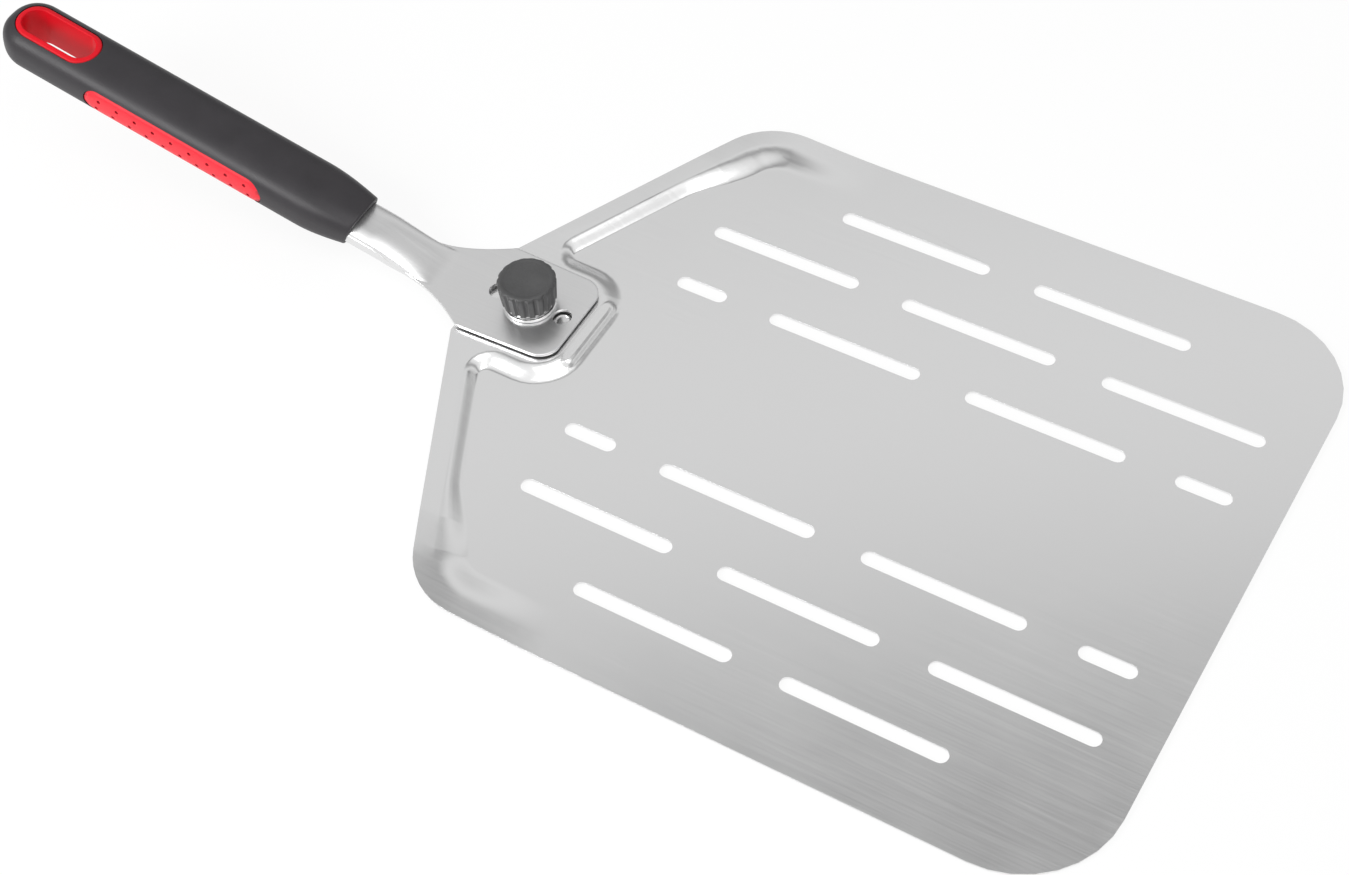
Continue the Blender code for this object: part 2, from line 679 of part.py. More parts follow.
def build_knob_insert(pivot):
    """Threaded insert whose collar stands out below the knob."""
    collar = COLLAR_DIAMETER / 2
    body = INSERT_DIAMETER / 2
    profile = [(BOLT_HOLE_RADIUS, INSERT_TOP), (body, INSERT_TOP), (body, COLLAR_TOP), (collar, COLLAR_TOP),
               (collar, INSERT_BOTTOM), (BOLT_HOLE_RADIUS, INSERT_BOTTOM)]
    return dress(turned("knob_insert", profile, pivot, parts, closed=True), BRIGHT_STEEL)


def knob_ring(radius, depth, height):
    """Fluted outline at a height; the flutes are rounded grooves."""
    count = FLUTES * 6
    ring = []
    for i in range(count):
        angle = 2 * math.pi * i / count
        groove = max(math.cos(FLUTES * angle), 0.0)
        reach = radius - depth * groove
        ring.append(Vector((reach * math.cos(angle), reach * math.sin(angle), height)))
    return ring


def build_knob(pivot):
    """Fluted knob with a chamfered top, hollow below for its insert and the bolt's end."""
    radius = KNOB_DIAMETER / 2
    shoulder = KNOB_TOP - KNOB_CHAMFER
    rings = [knob_ring(radius - KNOB_TAPER, FLUTE_DEPTH, KNOB_BOTTOM),
             knob_ring(radius, FLUTE_DEPTH, shoulder),
             knob_ring(radius - KNOB_CHAMFER * 0.35, FLUTE_DEPTH * 0.4, KNOB_TOP - KNOB_CHAMFER * 0.35),
             knob_ring(radius - KNOB_CHAMFER, 0.0, KNOB_TOP)]
    knob = add_object("knob", loft(rings), pivot, parts)
    below = KNOB_BOTTOM - COLLAR_HEIGHT
    room = cylinder(INSERT_DIAMETER / 2 + FIT, below, INSERT_TOP + FIT)
    combine(knob, make_cutter("insert_room", room, pivot))
    relief = cylinder(BOLT_HOLE_RADIUS, below, INSERT_TOP + FIT + BOLT_RELIEF)
    combine(knob, make_cutter("bolt_relief", relief, pivot))
    return dress(knob, BLACK_PLASTIC)


def build_handle(handle, grip):
    """Shank and everything on the grip."""
    build_grip_cutters(grip)
    build_grip_pin(grip)
    build_shank(handle)
    build_grip_core(handle, grip)
    build_grip_shell(grip)
    build_side_grip(1, "left", grip)
    build_side_grip(-1, "right", grip)
    build_hang_loop_liner(grip)


for stale in list(bpy.data.objects):
    bpy.data.objects.remove(stale, do_unlink=True)
parts = bpy.data.collections.new("pizza_peel")
cutters = bpy.data.collections.new("cutters")
for group in (parts, cutters):
    bpy.context.scene.collection.children.link(group)

pivot_axis = make_empty("pivot_axis", (PIVOT_X, 0, 0))
handle_axis = make_empty("handle_axis", (PIVOT_X, 0, 0))
tube_middle = TONGUE_BOTTOM + math.tan(HANDLE_RISE) * (GRIP_START - BEND_POINT) + TUBE_HEIGHT / 2
mouth = (-GRIP_START, 0, tube_middle + GRIP_ABOVE_TUBE)
grip_axis = make_empty("grip_axis", mouth, handle_axis, HANDLE_RISE)

build_blade()
build_index_pin()
build_pivot_bolt(pivot_axis)
build_handle(handle_axis, grip_axis)
build_washer(pivot_axis)
build_knob_insert(pivot_axis)
build_knob(pivot_axis)
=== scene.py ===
"""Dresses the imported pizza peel: brushed steel, a fluted clamp knob and a soft black grip."""

import math

import bmesh
import bpy
from bpy.props import FloatProperty, FloatVectorProperty, IntProperty, PointerProperty
from mathutils import Euler, Matrix, Vector


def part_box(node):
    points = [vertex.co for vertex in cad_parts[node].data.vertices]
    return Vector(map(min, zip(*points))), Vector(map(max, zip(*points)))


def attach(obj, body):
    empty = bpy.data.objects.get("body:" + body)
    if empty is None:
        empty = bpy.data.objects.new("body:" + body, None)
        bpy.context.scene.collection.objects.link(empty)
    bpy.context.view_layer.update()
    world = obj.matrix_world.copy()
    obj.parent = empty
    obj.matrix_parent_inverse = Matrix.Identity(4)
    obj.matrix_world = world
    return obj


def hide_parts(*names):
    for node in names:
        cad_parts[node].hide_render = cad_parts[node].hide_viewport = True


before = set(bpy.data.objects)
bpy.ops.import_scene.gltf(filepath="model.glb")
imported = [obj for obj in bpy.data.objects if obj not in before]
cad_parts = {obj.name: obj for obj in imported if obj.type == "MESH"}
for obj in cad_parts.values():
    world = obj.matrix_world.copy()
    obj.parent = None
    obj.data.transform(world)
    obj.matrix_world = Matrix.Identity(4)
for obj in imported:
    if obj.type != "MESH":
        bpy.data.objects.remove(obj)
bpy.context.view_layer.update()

bl_info = {
    "name": "Pizza Peel",
    "version": (1, 0, 0),
    "blender": (4, 5, 0),
    "location": "View3D > Sidebar > Peel",
    "description": "Finishes a folding pizza peel and sets it on a pale studio floor",
    "category": "Object",
}

MERGE = 1e-7  # points of a new mesh closer than this are joined
CAD_MERGE = 1e-6  # the same for a copied solid
MIX_INPUTS = (0, 6, 7)  # factor and colours of a Mix node
MIX_RESULT = 2

# Brush marks and grain
FINE_BRUSHING = (28.0, 1300.0, 60.0)
LONG_BRUSHING = (7.0, 420.0, 25.0)
CLOUDS = 16.0
FINE_GRAIN = 2400.0
SLOW_GRAIN = 70.0
ROUGHNESS_SWING = 0.05
BUMP_DISTANCE = 0.0002

# Blade
STRIP_FROM = 0.07  # the widened step stays this far from the blade's middle
STRIP_MARGIN = 0.0004
CUT_FROM = 0.080  # first of the cuts that let the step bend
CUT_PITCH = 0.005
CUTS = 15
BEAD_MARGIN = 0.004  # faces are split this far round the bead
BEAD_EASE = 0.0010  # width of the bead's flank

# Shank
SHANK_COLUMNS = 44
SHANK_EDGE = (0.0, 0.12, 0.35, 0.7)  # rows in the rounded front edge
CORNER_TURNS = range(0, 91, 5)
TONGUE_ROWS = 8
NECK_ROWS = 72
DRILL = 0.01  # length of the drill for the holes

# Clamp
WASHER_ROUND = 0.0005
INSERT_BODY = 0.0070  # radius of the insert above its collar
COLLAR_HEIGHT = 0.0014
COLLAR_CHAMFER = 0.0003
# Rows of the knob: inset, share of the flutes and rise below, then inset and sink on top
KNOB_FOOT = ((0.0012, 0.0, 0.0), (0.0003, 0.9, 0.0001), (0.0, 1.0, 0.0004))
KNOB_DISH = ((0.0004, 0.0), (0.0009, 0.00025), (0.0016, 0.0003))
KNOB_ROWS = 8
DISH_SHARE = 0.5  # last ring of the dished top, as a share of its rim
FLUTE_COLUMNS = 14
FLUTE_POWER = 0.8
FLUTE_FADE = 0.75  # share of the top edge over which the flutes fade
PIN_DOME = 0.0006
PIN_CHAMFER = 0.0002
PIN_TAIL = 0.0008
PIN_STEM = 0.0020
PIN_ROWS = 8

# Grip
SKIN_COLUMNS = 96
SKIN_ROWS = 50
LIP_ROWS = (0.0, 0.08, 0.25, 0.5, 1.0)
NOSE_ROWS = 14
TIP_TURNS = range(4, 88, 4)
TIP_GAP = 0.00002  # the last ring stays this far from the tip
LEAST_REACH = 0.00001
PANEL_REACH = 0.0048  # a panel's block starts this deep in the grip
PANEL_FINE = 0.6
RIM_DROP = 0.0005
RIM_WIDTH = 0.0016
DIMPLE_ROWS = ((9, 1, 1.0), (10, -1, 0.93))  # count, side of the middle, share of the pitch
DIMPLE_STRETCH = 1.5
DIMPLE_SHADE_MASK = "press"  # attribute that is 1 in the dimples, the mask of the painted shade there
PRESS_FROM = 0.0001
PRESS_EASE = 0.0005
PRESS_REACH = 1.1
LINING_COLUMNS = 128
LINING_STEPS = 5

# Stage
SENSOR = 36.0
NEAREST = 0.01
CAMERA_PLACE = (0.27187, -0.54022, 0.79148)
CAMERA_TURN = (38.128, 3.607, 30.667)
FLOOR_HALF = 4.0
FLOOR_DROP = 0.0008
FLOOR_WHITE = 0.88  # share of plain white in the floor that the camera sees
KEY_PLACE = (0.35, -0.25, 1.45)
KEY_SIZE = 0.9
SIDE_PLACE = (-0.75, -1.00, 0.85)
SIDE_SIZE = 0.7
LAMP_AIM = (-0.1, 0.0, 0.0)
ROOM_WAY = (0.35, -0.45, 0.82)  # direction in which the room's bands are counted
ROOM_FIRST = (0.40, 0.32)  # place and level of a band in reflections
ROOM_BANDS = ((0.52, 0.58), (0.64, 0.86), (0.68, 0.80), (0.72, 0.30), (0.77, 0.30))
ROOM_LAST = (0.82, 0.90)
ROOM_LIGHT = 0.62  # level of the room that lights the object


def length(name, description, default):
    """Size in metres for a property group."""
    return FloatProperty(name=name, description=description, default=default, unit="LENGTH",
                         precision=5)


def angle(name, description, degrees):
    """Angle for a property group."""
    return FloatProperty(name=name, description=description, default=math.radians(degrees),
                         subtype="ANGLE")


def colour(name, description, default):
    """Linear colour for a property group."""
    return FloatVectorProperty(name=name, description=description, default=default, subtype="COLOR",
                               size=3, min=0.0, max=1.0)


def number(name, description, default):
    """Plain number for a property group."""
    return FloatProperty(name=name, description=description, default=default)


class PeelSteel(bpy.types.PropertyGroup):
    """Sheet steel of blade and shank."""
    light: colour("Light brushing", "Steel between the brush marks", (0.87, 0.87, 0.87))
    dark: colour("Dark brushing", "Steel in the brush marks", (0.79, 0.79, 0.793))
    bright_light: colour("Bright light", "Plated steel of the small parts", (0.90, 0.90, 0.90))
    bright_dark: colour("Bright dark", "Plated steel where it is hazed", (0.78, 0.78, 0.78))
    edge: length("Edge radius", "Rounding of the sheet's cut edges", 0.00025)
    half: length("Half width", "Half of the blade's width", 0.1525)
    corner_x: length("Corner place", "Place of the shoulder corners' centres", -0.12316)
    corner_radius: length("Corner radius", "Radius of the shoulder corners", 0.0330)
    shoulder: angle("Shoulder", "Slant of the shoulders", 63.5)
    step_inset: length("Step inset", "Distance of the rear step from the edge", 0.0084)
    step_width: length("Step width", "Width of the rear step", 0.0066)
    step_spread: number("Step spread", "How many times wider the rear step is at the corners", 2.2)
    step_run: length("Step run", "Length over which the rear step widens", 0.0400)
    step_on_side: length("Step on side", "Length of the rear step on each long side", 0.0431)
    bead_x: length("Bead place", "Place of the bead in front of the joint", -0.1504)
    bead_length: length("Bead length", "Length of the bead across the blade", 0.0410)
    bead_width: length("Bead width", "Width of the bead", 0.0062)
    sheet: length("Sheet", "Thickness of the blade's sheet", 0.0010)
    bead_top: length("Bead top", "Height that the bead stays under", 0.0049)
    bead_height: length("Bead height", "Crown of the bead", 0.0013)


class PeelShank(bpy.types.PropertyGroup):
    """Tube that is pressed flat into the tongue, as reaches behind the pivot."""
    pivot: length("Pivot", "Place of the pivot along the blade", -0.1810)
    bottom: length("Underside", "Height of the tongue's underside", 0.0061)
    thickness: length("Thickness", "Thickness of the tongue", 0.0016)
    front: length("Front", "Reach of the tongue in front of the pivot", 0.0250)
    front_width: length("Front width", "Width of the tongue in front", 0.0486)
    rear_width: length("Rear width", "Width of the tongue behind", 0.0518)
    corner: length("Corner", "Radius of the tongue's corners", 0.0095)
    rear: length("Rear", "Reach where the tongue starts to narrow", 0.0235)
    flare_end: length("Flare end", "Reach where the neck has the tube's width", 0.0630)
    flare: number("Flare", "Power of the neck's curve", 1.8)
    bend: length("Bend", "Reach of the bend", 0.0745)
    bend_length: length("Bend length", "Length of the bend", 0.0130)
    swell_start: length("Swell start", "Reach where the tube starts to open", 0.0440)
    swell_end: length("Swell end", "Reach where the tube is full", 0.0805)
    neck_end: length("Neck end", "Reach where the tube is straight", 0.0810)
    end: length("End", "Reach of the tube's end in the grip", 0.1597)
    width: length("Tube width", "Width of the tube", 0.0230)
    height: length("Tube height", "Height of the tube", 0.0124)
    crown: length("Crown width", "Width of the tube's crown", 0.0226)
    side: length("Tube side", "Height of the tube's straight side", 0.0056)
    roundness: number("Roundness", "Power of the crown's curve", 3.6)
    edge: length("Edge radius", "Rounding of the tongue's edge", 0.0005)
    hole: length("Index hole", "Diameter of the index holes", 0.0087)
    bolt_hole: length("Bolt hole", "Diameter of the bolt's hole", 0.0086)
    index: length("Index radius", "Distance of the index holes from the pivot", 0.0170)


class PeelGrip(bpy.types.PropertyGroup):
    """Soft grip, its side panels and the lining of its hanging slot."""
    mouth: FloatVectorProperty(name="Mouth", description="Middle of the grip's mouth",
                               subtype="TRANSLATION", default=(-0.2723, 0.0, 0.01690))
    rise: angle("Rise", "Climb of the grip", 12.1)
    length: length("Length", "Length of the grip", 0.2000)
    width: length("Width", "Width of the grip", 0.0320)
    height: length("Height", "Height of the grip", 0.0245)
    nose: length("Nose", "Length of the tapered nose", 0.0270)
    nose_width: length("Nose width", "Width at the mouth", 0.0250)
    nose_height: length("Nose height", "Height at the mouth", 0.0203)
    roundness: number("Roundness", "Power of the section's curve", 2.8)
    tip_roundness: number("Tip roundness", "Power of the tip's curve", 2.4)
    overhang: angle("Overhang", "Lean of the mouth", 14.0)
    lip: length("Lip", "Rounding of the mouth's edge", 0.0006)
    gap: length("Gap", "Gap round the inlaid pieces", 0.0003)
    panel_length: length("Panel length", "Length of a side panel", 0.1000)
    panel_height: length("Panel height", "Height of a side panel", 0.0150)
    panel_start: length("Panel start", "Distance of the panels from the mouth", 0.0450)
    panel_drop: length("Panel drop", "Distance of the panels below the grip's middle", 0.0010)
    panel_depth: length("Panel depth", "Thickness of a side panel", 0.0014)
    dimple: length("Dimple", "Radius of a pressed dimple", 0.00095)
    dimple_pitch: length("Dimple pitch", "Distance between dimples in a row", 0.0103)
    dimple_row: length("Dimple row", "Distance of each row from the panel's middle", 0.0028)
    loop_length: length("Slot length", "Length of the hanging slot's lining", 0.0450)
    loop_width: length("Slot width", "Width of the hanging slot's lining", 0.0204)
    loop_place: length("Slot place", "Distance of the hanging slot from the mouth", 0.1705)
    loop_wall: length("Slot wall", "Wall of the hanging slot's lining", 0.0029)
    loop_round: length("Slot rounding", "Rounding of the lining's rims", 0.0008)
    black_low: colour("Black low", "Grip in the grain", (0.022, 0.020, 0.023))
    black_high: colour("Black high", "Grip between the grain", (0.034, 0.031, 0.035))
    red_low: colour("Red low", "Red rubber in the grain", (0.72, 0.008, 0.022))
    red_high: colour("Red high", "Red rubber between the grain", (0.83, 0.016, 0.034))
    # painted shade: the dark red put in the dimples stands in for the shade that falls into them
    painted_dimple_shade: colour("Dimple red", "Red rubber inside the dimples", (0.22, 0.003, 0.010))
    # painted shade: the lining is the same red rubber as the side panels, set darker for the shade
    # inside the slot
    shaded_lining_low: colour("Lining low", "Slot's lining in the grain", (0.60, 0.002, 0.010))
    shaded_lining_high: colour("Lining high", "Slot's lining between the grain", (0.72, 0.006, 0.018))
    core_low: colour("Core low", "Former in the grain", (0.08, 0.08, 0.08))
    core_high: colour("Core high", "Former between the grain", (0.11, 0.11, 0.11))


class PeelKnob(bpy.types.PropertyGroup):
    """Clamp knob with washer, and the index pin."""
    radius: length("Radius", "Radius of the knob over its ridges", 0.01335)
    taper: length("Taper", "How much smaller the knob is below", 0.0009)
    chamfer: length("Chamfer", "Height of the rounded top edge", 0.0019)
    flutes: IntProperty(name="Flutes", description="Grooves round the knob", default=18, min=6)
    depth: length("Flute depth", "Depth of the grooves", 0.0010)
    pin: length("Pin head", "Radius of the index pin's head", 0.0036)
    low: colour("Plastic low", "Knob in the grain", (0.052, 0.052, 0.053))
    high: colour("Plastic high", "Knob between the grain", (0.088, 0.088, 0.089))
    collar: length("Collar", "Radius of the insert's collar", 0.0106)


class PeelStage(bpy.types.PropertyGroup):
    """Floor, light and camera."""
    floor: colour("Floor", "Colour of the studio floor", (0.92, 0.92, 0.92))
    lens: number("Lens", "Focal length of the camera in millimetres", 62.76)
    key: number("Key power", "Power of the lamp overhead in watts", 5.0)
    side: number("Side power", "Power of the lamp beside the camera in watts", 12.0)


def link(tree, start, end):
    """Joins two sockets of a node tree."""
    tree.links.new(start, end)


def feed(tree, socket, value):
    """Links a socket to another one, or sets it to a plain value."""
    if isinstance(value, bpy.types.NodeSocket):
        link(tree, value, socket)
    else:
        socket.default_value = value


def opaque(shade):
    """Colour with full alpha."""
    return (*shade, 1.0)


def grey(level):
    """Opaque grey."""
    return (level, level, level, 1.0)


def new_material(name):
    """Node material with its tree, Principled shader and Object coordinates."""
    material = bpy.data.materials.new(name)
    material.use_nodes = True
    tree = material.node_tree
    coords = tree.nodes.new("ShaderNodeTexCoord").outputs["Object"]
    return material, tree, tree.nodes["Principled BSDF"], coords


def new_group(name, outputs):
    """Shader node group that reads a vector, with its input and output sockets."""
    group = bpy.data.node_groups.new(name, "ShaderNodeTree")
    group.interface.new_socket("Vector", in_out="INPUT", socket_type="NodeSocketVector")
    for label in outputs:
        group.interface.new_socket(label, in_out="OUTPUT", socket_type="NodeSocketFloat")
    start = group.nodes.new("NodeGroupInput").outputs["Vector"]
    return group, start, group.nodes.new("NodeGroupOutput").inputs


def noise(tree, vector, scale, detail=2.0, roughness=0.5):
    """Noise texture's factor."""
    node = tree.nodes.new("ShaderNodeTexNoise")
    node.inputs["Scale"].default_value = scale
    node.inputs["Detail"].default_value = detail
    node.inputs["Roughness"].default_value = roughness
    link(tree, vector, node.inputs["Vector"])
    return node.outputs["Fac"]


def stretched(tree, vector, scale):
    """Coordinates scaled apart along the axes."""
    node = tree.nodes.new("ShaderNodeMapping")
    node.inputs["Scale"].default_value = scale
    link(tree, vector, node.inputs["Vector"])
    return node.outputs["Vector"]


def calc(tree, operation, first, second):
    """Math node on sockets or numbers."""
    node = tree.nodes.new("ShaderNodeMath")
    node.operation = operation
    feed(tree, node.inputs[0], first)
    feed(tree, node.inputs[1], second)
    return node.outputs[0]


def weigh(tree, *parts):
    """Sum of sockets, each times its share."""
    total = 0.0
    for value, share in parts:
        total = calc(tree, "ADD", calc(tree, "MULTIPLY", value, share), total)
    return total


def remap(tree, value, low, high, start=0.3, end=0.7):
    """Value moved from one range to another."""
    node = tree.nodes.new("ShaderNodeMapRange")
    link(tree, value, node.inputs["Value"])
    limits = {"From Min": start, "From Max": end, "To Min": low, "To Max": high}
    for label, limit in limits.items():
        node.inputs[label].default_value = limit
    return node.outputs["Result"]


def blend_colour(tree, factor, low, high):
    """Mix of two colours, given as sockets or plain, by a factor."""
    node = tree.nodes.new("ShaderNodeMix")
    node.data_type = "RGBA"
    for place, value in zip(MIX_INPUTS, (factor, low, high)):
        feed(tree, node.inputs[place], value)
    return node.outputs[MIX_RESULT]


def place_group(tree, name, coords):
    """Outputs of a node group that is placed in a material."""
    node = tree.nodes.new("ShaderNodeGroup")
    node.node_tree = bpy.data.node_groups[name]
    link(tree, coords, node.inputs["Vector"])
    return node.outputs


def bump(tree, shader, height, strength, distance):
    """Bump from a height into the shader's normal."""
    node = tree.nodes.new("ShaderNodeBump")
    node.inputs["Strength"].default_value = strength
    node.inputs["Distance"].default_value = distance
    link(tree, height, node.inputs["Height"])
    link(tree, node.outputs["Normal"], shader.inputs["Normal"])


def make_brushed_grain():
    """Fine brush marks along X over slow clouds of shade."""
    group, start, end = new_group("brushed_grain", ("Shade", "Height"))
    streaks = noise(group, stretched(group, start, FINE_BRUSHING), 1.0, detail=3.0, roughness=0.6)
    long_marks = noise(group, stretched(group, start, LONG_BRUSHING), 1.0)
    clouds = noise(group, start, CLOUDS, detail=4.0, roughness=0.55)
    link(group, weigh(group, (streaks, 0.34), (long_marks, 0.26), (clouds, 0.40)), end["Shade"])
    link(group, streaks, end["Height"])


def make_moulded_grain():
    """Fine moulded grain with slow changes of gloss."""
    group, start, end = new_group("moulded_grain", ("Shade", "Height"))
    grain = noise(group, start, FINE_GRAIN, roughness=0.6)
    slow = noise(group, start, SLOW_GRAIN, detail=3.0)
    link(group, weigh(group, (grain, 0.45), (slow, 0.55)), end["Shade"])
    link(group, grain, end["Height"])


def grained_material(name, grain, low, high, rough, depth, metallic=0.0, gloss=0.4):
    """Material whose colour, gloss and bump follow one of the grains."""
    material, tree, shader, coords = new_material(name)
    shader.inputs["Specular IOR Level"].default_value = gloss
    marks = place_group(tree, grain, coords)
    factor = remap(tree, marks["Shade"], 0.0, 1.0)
    tint = blend_colour(tree, factor, opaque(low), opaque(high))
    link(tree, tint, shader.inputs["Base Color"])
    matte = remap(tree, marks["Shade"], rough - ROUGHNESS_SWING, rough + ROUGHNESS_SWING)
    link(tree, matte, shader.inputs["Roughness"])
    shader.inputs["Metallic"].default_value = metallic
    bump(tree, shader, marks["Height"], depth, BUMP_DISTANCE)
    return material


def steel_material(name, low, high, rough):
    """Brushed steel."""
    return grained_material(name, "brushed_grain", low, high, rough, depth=0.004, metallic=1.0)


def bright_material(name, steel):
    """Plated steel of the small parts."""
    return grained_material(name, "moulded_grain", steel.bright_dark, steel.bright_light,
                            rough=0.24, depth=0.02, metallic=1.0)


def dress_node(node, material):
    """Puts a material in a CAD node's slots."""
    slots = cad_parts[node].material_slots
    if not slots:
        raise RuntimeError(node + " has no material slot")
    for slot in slots:
        slot.material = material


def mix(low, high, share):
    """Value between low and high."""
    return low + (high - low) * share


def smooth(share):
    """Ease from 0 to 1."""
    share = min(max(share, 0.0), 1.0)
    return share * share * (3 - 2 * share)


def rungs(low, high, count):
    """Values after low, in equal steps up to high."""
    return [mix(low, high, step / count) for step in range(1, count + 1)]


def wrap(around, along, place):
    """Grid rolled into a tube with filled ends: place gives the point of each column and row."""
    bm = bmesh.new()
    bmesh.ops.create_grid(bm, x_segments=around, y_segments=along, size=0.5)
    for vert in bm.verts:
        column = round((vert.co.x + 0.5) * around) % around
        vert.co = place(column, round((vert.co.y + 0.5) * along))
    bmesh.ops.remove_doubles(bm, verts=bm.verts, dist=MERGE)
    rims = [edge for edge in bm.edges if edge.is_boundary]
    if rims:
        bmesh.ops.holes_fill(bm, edges=rims)
    bmesh.ops.recalc_face_normals(bm, faces=bm.faces)
    return bm


def stadium(length, width, low, high, segments=96):
    """Upright block with two parallel sides and round ends, along X."""
    bm = bmesh.new()
    bmesh.ops.create_circle(bm, cap_ends=True, segments=segments, radius=width / 2,
                            matrix=Matrix.Rotation(math.pi / segments, 4, "Z"))
    for vert in bm.verts:
        vert.co.x += math.copysign((length - width) / 2, vert.co.x)
        vert.co.z = low
    raised = bmesh.ops.extrude_face_region(bm, geom=bm.faces[:])["geom"]
    top = [item for item in raised if isinstance(item, bmesh.types.BMVert)]
    bmesh.ops.translate(bm, verts=top, vec=(0, 0, high - low))
    bmesh.ops.recalc_face_normals(bm, faces=bm.faces)
    return bm


def turned(profile, centre, steps=72):
    """Profile of (radius, height) points spun round an upright axis."""
    bm = bmesh.new()
    verts = [bm.verts.new((radius, 0, height)) for radius, height in profile]
    edges = [bm.edges.new(pair) for pair in zip(verts, verts[1:])]
    if profile[0][0] > 0:
        edges.append(bm.edges.new((verts[-1], verts[0])))
    bmesh.ops.spin(bm, geom=verts + edges, cent=(0, 0, 0), axis=(0, 0, 1), angle=2 * math.pi,
                   steps=steps, use_merge=True)
    bmesh.ops.remove_doubles(bm, verts=bm.verts, dist=MERGE)
    bmesh.ops.recalc_face_normals(bm, faces=bm.faces)
    bmesh.ops.translate(bm, verts=bm.verts, vec=(centre.x, centre.y, 0))
    return bm


def mesh_object(bm, name):
    """Object that takes over a bmesh."""
    mesh = bpy.data.meshes.new(name)
    bm.to_mesh(mesh)
    bm.free()
    made = bpy.data.objects.new(name, mesh)
    bpy.context.scene.collection.objects.link(made)
    return made


def carve(bm, other, operation="DIFFERENCE"):
    """Boolean of two bmeshes, both of which are used up."""
    body = mesh_object(bm, "carve_body")
    tool = mesh_object(other, "carve_tool")
    modifier = body.modifiers.new("carve", "BOOLEAN")
    modifier.operation = operation
    modifier.object = tool
    modifier.solver = "EXACT"
    graph = bpy.context.evaluated_depsgraph_get()
    made = bpy.data.meshes.new_from_object(body.evaluated_get(graph))
    result = bmesh.new()
    result.from_mesh(made)
    for helper in (body, tool):
        mesh = helper.data
        bpy.data.objects.remove(helper)
        bpy.data.meshes.remove(mesh)
    bpy.data.meshes.remove(made)
    if not result.faces:
        raise RuntimeError("a Boolean left nothing")
    return result


def add_piece(name, bm, material, body, node, crease=35.0):
    """Object made from a bmesh that stands for a CAD node."""
    piece = mesh_object(bm, name)
    mesh = piece.data
    mesh.materials.append(material)
    mesh.shade_smooth()
    mesh.set_sharp_from_angle(angle=math.radians(crease))
    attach(piece, body)
    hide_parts(node)
    return piece


def rounded_corner(radius, height, size, start, steps=4):
    """Quarter round of a turned profile, from an angle in degrees, turning outwards and down."""
    points = []
    for step in range(steps + 1):
        turn = math.radians(start - 90 * step / steps)
        points.append((radius + size * math.cos(turn), height + size * math.sin(turn)))
    return points


def shank_half(size, reach):
    """Half of the shank's width at a reach behind the pivot."""
    if reach > size.rear:
        share = min((reach - size.rear) / (size.flare_end - size.rear), 1.0)
        return mix(size.width, size.rear_width, (1 - share) ** size.flare) / 2
    into = min(max(size.corner - size.front - reach, 0.0), size.corner)
    corner = size.corner - math.sqrt(size.corner ** 2 - into ** 2)
    share = (reach + size.front) / (size.rear + size.front)
    return mix(size.front_width, size.rear_width, share) / 2 - corner


def shank_climb(size, reach):
    """Rise of the shank's foot past its bend."""
    slope = math.tan(bpy.context.scene.peel_grip.rise)
    past = reach - size.bend
    if abs(past) < size.bend_length / 2:
        return slope * (past + size.bend_length / 2) ** 2 / (2 * size.bend_length)
    return slope * max(past, 0.0)


def shank_section(size, reach, grow=0.0):
    """Ring of points: a dome that grows over a flat foot, with rounded edges."""
    half = shank_half(size, reach)
    foot = size.bottom + shank_climb(size, reach)
    swell = smooth((reach - size.swell_start) / (size.swell_end - size.swell_start))
    tall = mix(size.thickness, size.height, swell)
    base = mix(size.thickness, size.height / 2, swell ** 2)
    side_top = mix(size.thickness, (size.height + size.side) / 2, swell ** 2)
    side_low = (size.height - size.side) / 2 * swell ** 2
    upper = []
    lower = []
    for step in range(SHANK_COLUMNS + 1):
        y = -half * math.cos(math.pi * step / SHANK_COLUMNS)
        away = max(1 - (abs(y) / (size.crown / 2)) ** size.roundness, 0.0)
        bulge = away ** (1 / size.roundness)
        inside = min(half - abs(y), reach + size.front, size.edge)
        drop = size.edge - math.sqrt(size.edge ** 2 - (size.edge - inside) ** 2)
        top = max(side_top, mix(base, tall, bulge)) - drop + grow
        low = min(side_low, size.height / 2 * swell ** 2 * (1 - bulge)) + drop - grow
        out = y * (1 + grow / half)
        upper.append(Vector((size.pivot - reach, out, foot + top)))
        lower.append(Vector((size.pivot - reach, out, foot + low)))
    return upper + lower[::-1]


def grip_matrix(size):
    """Place of the grip's own axes, whose X runs forward out of the mouth."""
    return Matrix.Translation(size.mouth) @ Matrix.Rotation(size.rise, 4, "Y")


def grip_half(size, place):
    """Half width and half height of the grip at a place behind its mouth."""
    nose = math.sin(min(max(place, 0.0) / size.nose, 1.0) * math.pi / 2)
    wide = mix(size.nose_width, size.width, nose) / 2
    tall = mix(size.nose_height, size.height, nose) / 2
    into = min(max(place - size.length + size.width / 2, 0.0) / (size.width / 2), 1.0)
    tip = (1 - into ** size.tip_roundness) ** (1 / size.tip_roundness)
    return wide * math.sqrt(1 - into ** 2), tall * tip


def skin_height(size, place, y):
    """Height of the grip's skin above its axis."""
    wide, tall = grip_half(size, place)
    share = min(abs(y) / wide, 1.0) if wide else 1.0
    return tall * (1 - share ** size.roundness) ** (1 / size.roundness)


def skin_reach(size, place, z):
    """Distance of the grip's skin from its axis, sideways."""
    wide, tall = grip_half(size, place)
    return wide * (1 - min(abs(z) / tall, 1.0) ** size.roundness) ** (1 / size.roundness)


def rounded(value, power):
    """Power of a number that keeps its sign."""
    return math.copysign(abs(value) ** power, value)


